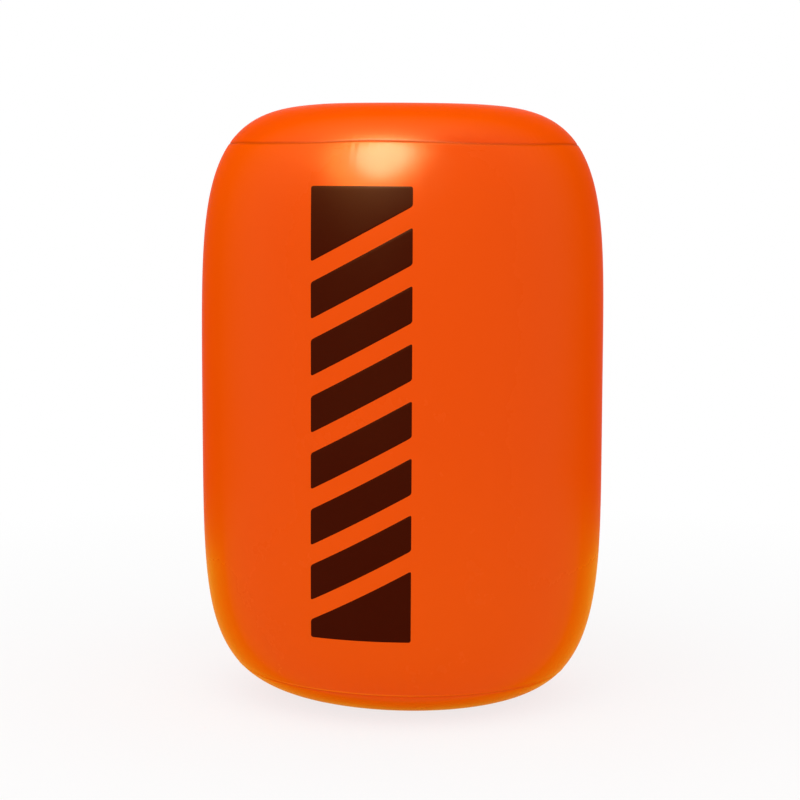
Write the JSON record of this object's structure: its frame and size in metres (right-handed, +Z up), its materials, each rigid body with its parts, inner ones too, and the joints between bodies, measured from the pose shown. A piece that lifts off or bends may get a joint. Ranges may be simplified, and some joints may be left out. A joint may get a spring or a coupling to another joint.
{
  "type": "standing buoy",
  "caption": "Inflated cylinder marker buoy with rounded shoulders, standing on end, with a plug valve in its back wall and an eyelet tab in a dish under its foot.",
  "frame": {"origin": "centre of the flat foot, on the ground", "axes": "+Z up along the bag, -Y towards the printed front that the picture shows, +X to the right seen from the front"},
  "size_m": [0.6, 0.6, 0.8831],
  "materials": {
    "bag_pvc": "glossy coated cloth, welded",
    "patch_pvc": "semi-gloss coated cloth",
    "valve_pvc": "satin moulded soft plastic",
    "plug_pvc": "satin moulded soft plastic",
    "flap_film": "milky soft film",
    "tab_webbing": "coated webbing",
    "eyelet_steel": "plain stainless steel, tumbled"
  },
  "bodies": {
    "root": {"buoy_body": "bag_pvc", "valve_body": "valve_pvc", "valve_plug": "plug_pvc", "valve_flap": "flap_film", "tether_patch": "patch_pvc", "tether_tab": "tab_webbing", "tether_eyelet": "eyelet_steel", "tether_washer": "eyelet_steel"}
  },
  "joints": []
}
